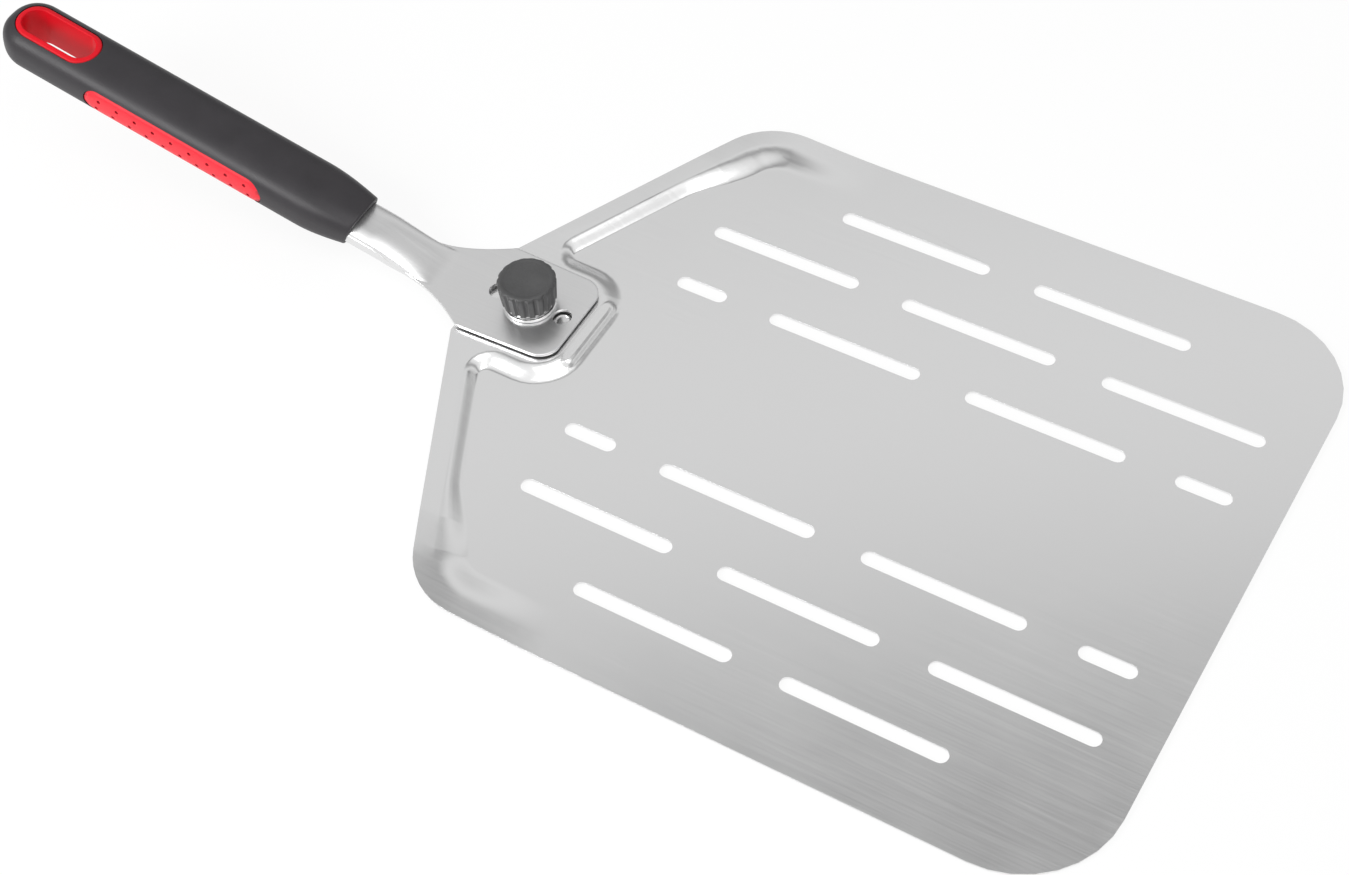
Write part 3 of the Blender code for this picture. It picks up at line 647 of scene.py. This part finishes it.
def grip_skin(size, inset, fine=1.0):
    """Solid of the grip's outer form, inset from its surface, in the grip's own axes."""
    around = int(SKIN_COLUMNS / fine / 4) * 4
    end = size.length - size.width / 2
    places = [size.lip * share for share in LIP_ROWS]
    places += rungs(0.0, size.nose, NOSE_ROWS)
    places += rungs(size.nose, end, int(SKIN_ROWS / fine))
    places += [end + size.width / 2 * math.sin(math.radians(turn)) for turn in TIP_TURNS]
    places.append(size.length - TIP_GAP)
    power = 2 / size.roundness

    def place(column, row):
        behind = places[row]
        wide, tall = grip_half(size, behind)
        into = max(size.lip - behind, 0.0)
        edge = inset + size.lip - math.sqrt(size.lip ** 2 - into ** 2)
        lean = math.tan(size.overhang) * max(1 - behind / size.nose, 0.0)
        turn = 2 * math.pi * column / around
        y = rounded(math.cos(turn), power) * max(wide - edge, LEAST_REACH)
        z = rounded(math.sin(turn), power) * max(tall - edge, LEAST_REACH)
        return Vector((lean * z - behind, y, z))

    return wrap(around, len(places) - 1, place)


def panel_block(size, side, grow):
    """Block with the outline of a side panel, reaching out through the side of the grip."""
    bm = stadium(size.panel_length + 2 * grow, size.panel_height + 2 * grow, 0.0, size.width / 2)
    inner = size.width / 2 - PANEL_REACH
    middle = -size.panel_start - size.panel_length / 2
    bmesh.ops.rotate(bm, verts=bm.verts, cent=(0, 0, 0),
                     matrix=Matrix.Rotation(-side * math.pi / 2, 3, "X"))
    bmesh.ops.translate(bm, verts=bm.verts, vec=(middle, side * inner, -size.panel_drop))
    return bm


def loop_block(size, grow):
    """Upright block with the outline of the hanging slot."""
    bm = stadium(size.loop_length + 2 * grow, size.loop_width + 2 * grow, -size.height, size.height)
    bmesh.ops.translate(bm, verts=bm.verts, vec=(-size.loop_place, 0, 0))
    return bm


class PEEL_OT_blade(bpy.types.Operator):
    """Stamped blade of brushed sheet steel with rounded cut edges."""
    bl_idname = "peel.blade"
    bl_label = "Blade"

    def execute(self, context):
        steel = context.scene.peel_steel
        bm = bmesh.new()
        bm.from_mesh(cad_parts["blade"].data)
        bmesh.ops.remove_doubles(bm, verts=bm.verts, dist=CAD_MERGE)
        self.widen_step(bm, steel)
        self.raise_bead(bm, steel)
        material = steel_material("blade_steel", steel.dark, steel.light, rough=0.21)
        blade = add_piece("dressed_blade", bm, material, "blade", "blade")
        rim = blade.modifiers.new("cut_edges", "BEVEL")
        rim.width = steel.edge
        rim.segments = 2
        rim.limit_method = "ANGLE"
        rim.angle_limit = math.radians(60)
        flat = blade.modifiers.new("flat_faces", "WEIGHTED_NORMAL")
        flat.weight = 50
        flat.keep_sharp = True
        return {"FINISHED"}

    def rear_inset(self, steel, point):
        """Inset from the rear edge, way inwards and reach along the shoulder, on the left half."""
        slope = Vector((math.cos(steel.shoulder), math.sin(steel.shoulder)))
        out = Vector((point.x - steel.corner_x, abs(point.y) - steel.half + steel.corner_radius))
        if out.x >= 0:
            return steel.corner_radius - out.y, Vector((0.0, -1.0)), 0.0
        along = out.dot(slope)
        if along > 0:
            return steel.corner_radius - out.length, -out.normalized(), 0.0
        outwards = Vector((-slope.y, slope.x))
        return steel.corner_radius - out.dot(outwards), -outwards, -along

    def on_strip(self, steel, point):
        """Whether a point lies in the rear strip that holds the step."""
        if abs(point.y) < STRIP_FROM or point.x > steel.corner_x + steel.step_on_side:
            return False
        foot = steel.step_inset + steel.step_width
        return self.rear_inset(steel, point)[0] <= foot + STRIP_MARGIN

    def widen_step(self, bm, steel):
        """Cuts the rear strip across, and lets its step run out softly towards the corners."""
        for side in (1, -1):
            for step in range(CUTS):
                geom = set()
                for face in bm.faces:
                    middle = face.calc_center_median()
                    if middle.y * side > 0 and self.on_strip(steel, middle):
                        geom.update([face], face.edges, face.verts)
                cut = (0, side * (CUT_FROM + CUT_PITCH * step), 0)
                bmesh.ops.bisect_plane(bm, geom=list(geom), plane_co=cut, plane_no=(0, 1, 0))
        for vert in bm.verts:
            if not self.on_strip(steel, vert.co):
                continue
            inset, inwards, reach = self.rear_inset(steel, vert.co)
            share = min(max((inset - steel.step_inset) / steel.step_width, 0.0), 1.0)
            spread = (steel.step_spread - 1) * smooth(1 - reach / steel.step_run)
            move = steel.step_width * spread * share
            vert.co.x += inwards.x * move
            vert.co.y += inwards.y * move * math.copysign(1.0, vert.co.y)

    def raise_bead(self, bm, steel):
        """Crowns the bead on the front flank of the boss, after splitting the faces there."""
        near = [face for face in bm.faces
                if self.bead_share(steel, face.calc_center_median(), BEAD_MARGIN) > 0]
        edges = list({edge for face in near for edge in face.edges})
        bmesh.ops.subdivide_edges(bm, edges=edges, cuts=3, use_grid_fill=True)
        bm.normal_update()
        for vert in bm.verts:
            limit = steel.bead_top if vert.normal.z > 0 else steel.bead_top - steel.sheet
            rise = steel.bead_height * self.bead_share(steel, vert.co, 0.0)
            vert.co.z += min(rise, max(limit - vert.co.z, 0.0))

    def bead_share(self, steel, point, grow):
        """Share of the bead's crown at a point, over an outline that can be grown."""
        radius = steel.bead_width / 2 + grow
        along = max(abs(point.y) - steel.bead_length / 2 + steel.bead_width / 2, 0.0)
        away = math.hypot(point.x - steel.bead_x, along)
        return smooth((radius - away) / BEAD_EASE)


class PEEL_OT_shank(bpy.types.Operator):
    """Steel tube that is pressed flat into the drilled tongue."""
    bl_idname = "peel.shank"
    bl_label = "Shank"

    def execute(self, context):
        size = context.scene.peel_shank
        steel = context.scene.peel_steel
        front = [-size.front + size.corner * (1 - math.cos(math.radians(turn)))
                 for turn in CORNER_TURNS]
        reaches = [-size.front + size.edge * share for share in SHANK_EDGE]
        reaches += [reach for reach in front if reach > reaches[-1]]
        reaches += rungs(front[-1], size.rear, TONGUE_ROWS)
        reaches += rungs(size.rear, size.neck_end, NECK_ROWS) + [size.end]
        sections = [shank_section(size, reach) for reach in reaches]
        columns = len(sections[0])
        bm = wrap(columns, len(reaches) - 1, lambda column, row: sections[row][column])
        holes = ((0.0, size.bolt_hole), (size.index, size.hole), (-size.index, size.hole))
        for place, width in holes:
            hole = bmesh.new()
            bmesh.ops.create_cone(hole, cap_ends=True, segments=64, radius1=width / 2,
                                  radius2=width / 2, depth=DRILL,
                                  matrix=Matrix.Translation((size.pivot + place, 0, size.bottom)))
            bm = carve(bm, hole)
        material = steel_material("shank_steel", steel.dark, steel.light, rough=0.33)
        add_piece("dressed_shank", bm, material, "handle", "shank", crease=50.0)
        return {"FINISHED"}


class PEEL_OT_clamp(bpy.types.Operator):
    """Fluted knob, its collar, the washer below and the index pin."""
    bl_idname = "peel.clamp"
    bl_label = "Clamp"

    def execute(self, context):
        steel = context.scene.peel_steel
        knob = context.scene.peel_knob
        self.make_knob(knob)
        bright = bright_material("plated_steel", steel)
        low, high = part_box("clamp_washer")
        centre = (low + high) / 2
        outer = (high.x - low.x) / 2
        bore = context.scene.peel_shank.bolt_hole / 2
        profile = [(bore, low.z), (bore, high.z)]
        rim = outer - WASHER_ROUND
        profile += rounded_corner(rim, high.z - WASHER_ROUND, WASHER_ROUND, 90)
        profile += rounded_corner(rim, low.z + WASHER_ROUND, WASHER_ROUND, 0)
        add_piece("dressed_washer", turned(profile, centre), bright, "clamp_washer", "clamp_washer")
        low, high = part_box("knob_insert")
        collar = knob.collar
        flat = collar - COLLAR_CHAMFER
        top = low.z + COLLAR_HEIGHT
        profile = [(bore, low.z), (bore, high.z), (INSERT_BODY, high.z), (INSERT_BODY, top),
                   (flat, top), (collar, top - COLLAR_CHAMFER), (collar, low.z + COLLAR_CHAMFER),
                   (flat, low.z)]
        add_piece("dressed_insert", turned(profile, centre), bright, "knob", "knob_insert")
        self.make_pin(bright)
        for node in ("pivot_bolt", "grip_pin"):
            dress_node(node, bright_material(node + "_plating", steel))
        return {"FINISHED"}

    def make_knob(self, knob):
        """Rounded grooves round a tapered drum with a soft top edge and a shallow dished top."""
        low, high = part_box("knob")
        centre = (low + high) / 2
        shoulder = high.z - knob.chamfer
        rows = [(knob.radius - knob.taper - inset, share, low.z + rise)
                for inset, share, rise in KNOB_FOOT]
        foot = rows[-1][2]
        for share in rungs(0.0, 1.0, KNOB_ROWS):
            radius = knob.radius - knob.taper * (1 - share)
            rows.append((radius, 1.0, mix(foot, shoulder, share)))
        for share in rungs(0.0, 1.0, KNOB_ROWS):
            turn = share * math.pi / 2
            radius = knob.radius - knob.chamfer * (1 - math.cos(turn))
            rows.append((radius, 1.0 - smooth(share / FLUTE_FADE),
                         shoulder + knob.chamfer * math.sin(turn)))
        rim = knob.radius - knob.chamfer
        rows += [(rim - inset, 0.0, high.z - sink) for inset, sink in KNOB_DISH]
        rows.append((rim * DISH_SHARE, 0.0, rows[-1][2]))
        columns = knob.flutes * FLUTE_COLUMNS

        def place(column, row):
            radius, share, height = rows[row]
            turn = 2 * math.pi * column / columns
            groove = max(math.cos(knob.flutes * turn), 0.0) ** FLUTE_POWER
            reach = radius - knob.depth * share * groove
            return Vector((centre.x + reach * math.cos(turn), centre.y + reach * math.sin(turn),
                           height))

        material = grained_material("knob_plastic", "moulded_grain", knob.low, knob.high,
                                    rough=0.42, depth=0.10)
        bm = wrap(columns, len(rows) - 1, place)
        add_piece("dressed_knob", bm, material, "knob", "knob")

    def make_pin(self, material):
        """Domed head on a short stem, closed over below the boss."""
        low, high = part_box("index_pin")
        centre = (low + high) / 2
        head = bpy.context.scene.peel_knob.pin
        foot = high.z - PIN_DOME
        tail = (high.x - low.x) / 2
        tail_top = low.z + PIN_TAIL
        profile = [(0.0, low.z), (tail - PIN_CHAMFER, low.z), (tail, low.z + PIN_CHAMFER),
                   (tail, tail_top), (PIN_STEM, tail_top), (PIN_STEM, foot), (head, foot)]
        for share in rungs(0.0, 1.0, PIN_ROWS):
            turn = share * math.pi / 2
            profile.append((head * math.cos(turn), foot + (high.z - foot) * math.sin(turn)))
        profile[-1] = (0.0, high.z)
        bm = turned(profile, centre, steps=48)
        add_piece("dressed_pin", bm, material, "blade", "index_pin", crease=50.0)


class PEEL_OT_grip(bpy.types.Operator):
    """Soft black grip with pockets for the side panels and the hanging slot."""
    bl_idname = "peel.grip"
    bl_label = "Grip"

    def execute(self, context):
        size = context.scene.peel_grip
        bm = grip_skin(size, 0.0)
        bm = carve(bm, loop_block(size, size.gap))
        for side in (1, -1):
            floor = grip_skin(size, size.panel_depth + size.gap)
            bm = carve(bm, carve(panel_block(size, side, size.gap), floor))
        bm = carve(bm, self.tube_socket(context.scene.peel_shank, size))
        bm.transform(grip_matrix(size))
        material = grained_material("grip_rubber", "moulded_grain", size.black_low, size.black_high,
                                    rough=0.44, depth=0.12)
        add_piece("dressed_grip", bm, material, "handle", "grip_shell", crease=40.0)
        core = grained_material("core_plastic", "moulded_grain", size.core_low, size.core_high,
                                rough=0.5, depth=0.1)
        dress_node("grip_core", core)
        return {"FINISHED"}

    def tube_socket(self, shank, size):
        """Tube that opens the mouth a little wider than the shank, in the grip's own axes."""
        rings = [shank_section(shank, reach, size.gap) for reach in (shank.neck_end, shank.end)]
        bm = wrap(len(rings[0]), 1, lambda column, row: rings[row][column])
        bm.transform(grip_matrix(size).inverted())
        return bm


class PEEL_OT_panels(bpy.types.Operator):
    """Red side panels with two rows of pressed dimples."""
    bl_idname = "peel.panels"
    bl_label = "Side panels"

    def execute(self, context):
        size = context.scene.peel_grip
        material = self.panel_rubber(size)
        for side, name in ((1, "left"), (-1, "right")):
            bm = carve(panel_block(size, side, 0.0), grip_skin(size, 0.0, PANEL_FINE), "INTERSECT")
            self.soften_rim(bm, size, side)
            bm = carve(bm, grip_skin(size, size.panel_depth))
            bm = carve(bm, self.dimples(size, side))
            self.mark_dimple_shade(bm, size, side)
            bm.transform(grip_matrix(size))
            node = "side_grip_" + name
            add_piece("dressed_panel_" + name, bm, material, "handle", node,
                      crease=40.0)
        return {"FINISHED"}

    def panel_rubber(self, size):
        """Red rubber with painted shade in the pressed dimples."""
        material = grained_material("panel_rubber", "moulded_grain", size.red_low, size.red_high,
                                    rough=0.42, depth=0.1)
        tree = material.node_tree
        base = tree.nodes["Principled BSDF"].inputs["Base Color"]
        pressed = tree.nodes.new("ShaderNodeAttribute")
        pressed.attribute_name = DIMPLE_SHADE_MASK
        plain = base.links[0].from_socket
        # painted shade: dark red blended in by the dimple mask
        dark = opaque(size.painted_dimple_shade)
        link(tree, blend_colour(tree, pressed.outputs["Fac"], plain, dark), base)
        return material

    def mark_dimple_shade(self, bm, size, side):
        """Attribute that tells how deep a vertex lies in a dimple, the mask for the painted shade
        there.
        """
        layer = bm.verts.layers.float.new(DIMPLE_SHADE_MASK)
        for vert in bm.verts:
            depth = skin_reach(size, -vert.co.x, vert.co.z) - vert.co.y * side
            off_row = abs(abs(vert.co.z + size.panel_drop) - size.dimple_row)
            in_row = off_row < size.dimple * PRESS_REACH
            vert[layer] = smooth((depth - PRESS_FROM) / PRESS_EASE) if in_row else 0.0

    def soften_rim(self, bm, size, side):
        """Lowers the outer face towards its rim."""
        radius = size.panel_height / 2
        for vert in bm.verts:
            if vert.co.y * side < size.width / 2 - size.panel_depth * 2:
                continue
            along = abs(vert.co.x + size.panel_start + size.panel_length / 2)
            along += radius - size.panel_length / 2
            inside = radius - math.hypot(max(along, 0.0), vert.co.z + size.panel_drop)
            vert.co.y -= side * RIM_DROP * (1 - smooth(inside / RIM_WIDTH))

    def dimples(self, size, side):
        """Long balls that press two rows."""
        bm = bmesh.new()
        middle = -size.panel_start - size.panel_length / 2
        stretch = Matrix.Diagonal((1.0, DIMPLE_STRETCH, 1.0, 1.0))
        for count, row, share in DIMPLE_ROWS:
            for step in range(count):
                x = middle + (step - (count - 1) / 2) * size.dimple_pitch * share
                z = size.dimple_row * row - size.panel_drop
                y = side * skin_reach(size, -x, z)
                press = Matrix.Translation((x, y, z)) @ stretch
                bmesh.ops.create_icosphere(bm, subdivisions=3, radius=size.dimple, matrix=press)
        return bm


class PEEL_OT_loop(bpy.types.Operator):
    """Red lining of the hanging slot with rounded rims."""
    bl_idname = "peel.loop"
    bl_label = "Hanging slot"

    def execute(self, context):
        size = context.scene.peel_grip
        half = size.loop_wall / 2
        turn = size.loop_round
        profile = []
        edge = half - turn
        for centre, rim, start in ((edge, 1, 0), (-edge, 1, 90), (-edge, -1, 180), (edge, -1, 270)):
            for step in range(LINING_STEPS + 1):
                way = math.radians(start + 90 * step / LINING_STEPS)
                profile.append((centre + turn * math.cos(way), rim, turn * (math.sin(way) - rim)))
        straight = (size.loop_length - size.loop_width) / 2

        def place(column, row):
            across, rim, drop = profile[column]
            way = 2 * math.pi * (row % LINING_COLUMNS + 0.5) / LINING_COLUMNS
            radius = size.loop_width / 2 - half + across
            x = radius * math.cos(way) + math.copysign(straight, math.cos(way)) - size.loop_place
            y = radius * math.sin(way)
            return Vector((x, y, rim * skin_height(size, -x, y) + drop))

        bm = wrap(len(profile), LINING_COLUMNS, place)
        bm.transform(grip_matrix(size))
        # painted shade: the lining's colours are darker than the panels' for the shade inside the
        # slot
        material = grained_material("lining_rubber", "moulded_grain", size.shaded_lining_low,
                                    size.shaded_lining_high, rough=0.48, depth=0.08, gloss=0.2)
        add_piece("dressed_slot_lining", bm, material, "handle", "hang_loop_liner",
                  crease=60.0)
        return {"FINISHED"}


class PEEL_OT_stage(bpy.types.Operator):
    """Pale floor, soft light and the camera."""
    bl_idname = "peel.stage"
    bl_label = "Stage"

    def execute(self, context):
        scene = context.scene
        stage = scene.peel_stage
        scene.view_settings.view_transform = "Standard"
        camera = bpy.data.objects.new("camera", bpy.data.cameras.new("camera"))
        camera.data.lens = stage.lens
        camera.data.sensor_width = SENSOR
        camera.data.clip_start = NEAREST
        camera.location = CAMERA_PLACE
        camera.rotation_euler = Euler([math.radians(turn) for turn in CAMERA_TURN])
        scene.collection.objects.link(camera)
        scene.camera = camera
        self.make_floor(stage)
        self.make_world(scene)
        self.make_lamp(scene, "key", KEY_PLACE, KEY_SIZE, stage.key)
        self.make_lamp(scene, "side", SIDE_PLACE, SIDE_SIZE, stage.side)
        return {"FINISHED"}

    def make_floor(self, stage):
        """Floor that shows white to the camera and keeps a soft shadow."""
        bm = bmesh.new()
        bmesh.ops.create_grid(bm, x_segments=1, y_segments=1, size=FLOOR_HALF,
                              matrix=Matrix.Translation((0, 0, -FLOOR_DROP)))
        floor = mesh_object(bm, "floor")
        material = bpy.data.materials.new("studio_floor")
        material.use_nodes = True
        tree = material.node_tree
        tree.nodes.remove(tree.nodes["Principled BSDF"])
        matte = tree.nodes.new("ShaderNodeBsdfDiffuse")
        matte.inputs["Color"].default_value = opaque(stage.floor)
        white = tree.nodes.new("ShaderNodeEmission")
        mixed = tree.nodes.new("ShaderNodeMixShader")
        path = tree.nodes.new("ShaderNodeLightPath").outputs
        seen = calc(tree, "MAXIMUM", path["Is Camera Ray"], path["Is Glossy Ray"])
        seen = calc(tree, "MAXIMUM", seen, path["Is Transmission Ray"])
        link(tree, calc(tree, "MULTIPLY", seen, FLOOR_WHITE), mixed.inputs[0])
        link(tree, matte.outputs[0], mixed.inputs[1])
        link(tree, white.outputs[0], mixed.inputs[2])
        link(tree, mixed.outputs[0], tree.nodes["Material Output"].inputs["Surface"])
        floor.data.materials.append(material)

    def make_world(self, scene):
        """Room that is white to the camera, and has pale and dim bands in reflections."""
        world = bpy.data.worlds.new("studio")
        world.use_nodes = True
        scene.world = world
        tree = world.node_tree
        facing = tree.nodes.new("ShaderNodeVectorMath")
        facing.operation = "DOT_PRODUCT"
        facing.inputs[1].default_value = ROOM_WAY
        link(tree, tree.nodes.new("ShaderNodeTexCoord").outputs["Generated"], facing.inputs[0])
        ramp = tree.nodes.new("ShaderNodeValToRGB")
        link(tree, remap(tree, facing.outputs["Value"], 0.0, 1.0, -1.0, 1.0), ramp.inputs["Fac"])
        stops = ramp.color_ramp.elements
        for stop, (place, level) in zip(stops, (ROOM_FIRST, ROOM_LAST)):
            stop.color = grey(level)
            stop.position = place
        for place, level in ROOM_BANDS:
            stops.new(place).color = grey(level)
        path = tree.nodes.new("ShaderNodeLightPath").outputs
        room = blend_colour(tree, path["Is Glossy Ray"], grey(ROOM_LIGHT), ramp.outputs["Color"])
        seen = blend_colour(tree, path["Is Camera Ray"], room, grey(1.0))
        link(tree, seen, tree.nodes["Background"].inputs["Color"])

    def make_lamp(self, scene, name, place, size, power):
        """Large soft area lamp aimed at the middle of the object."""
        lamp = bpy.data.lights.new(name, "AREA")
        lamp.size = size
        lamp.energy = power
        holder = bpy.data.objects.new(name, lamp)
        holder.location = place
        aim = Vector(LAMP_AIM) - Vector(place)
        holder.rotation_euler = aim.to_track_quat("-Z", "Y").to_euler()
        scene.collection.objects.link(holder)


class PEEL_PT_panel(bpy.types.Panel):
    """Lists the pieces of the peel."""
    bl_idname = "PEEL_PT_panel"
    bl_label = "Pizza Peel"
    bl_space_type = "VIEW_3D"
    bl_region_type = "UI"
    bl_category = "Peel"

    def draw(self, context):
        for operator in OPERATORS:
            self.layout.operator(operator.bl_idname)


OPERATORS = (PEEL_OT_stage, PEEL_OT_blade, PEEL_OT_shank, PEEL_OT_clamp, PEEL_OT_grip,
             PEEL_OT_panels, PEEL_OT_loop)
GROUPS = (("peel_steel", PeelSteel), ("peel_shank", PeelShank), ("peel_grip", PeelGrip),
          ("peel_knob", PeelKnob), ("peel_stage", PeelStage))


def register():
    """Registers the property groups, operators and panel."""
    for name, group in GROUPS:
        bpy.utils.register_class(group)
        setattr(bpy.types.Scene, name, PointerProperty(type=group))
    for kind in (*OPERATORS, PEEL_PT_panel):
        bpy.utils.register_class(kind)


def unregister():
    """Takes them away again."""
    for kind in reversed((*OPERATORS, PEEL_PT_panel)):
        bpy.utils.unregister_class(kind)
    for name, group in reversed(GROUPS):
        delattr(bpy.types.Scene, name)
        bpy.utils.unregister_class(group)


def main():
    """Builds every piece in order."""
    register()
    make_brushed_grain()
    make_moulded_grain()
    bpy.ops.peel.stage()
    bpy.ops.peel.blade()
    bpy.ops.peel.shank()
    bpy.ops.peel.clamp()
    bpy.ops.peel.grip()
    bpy.ops.peel.panels()
    bpy.ops.peel.loop()


if __name__ == "__main__":
    main()
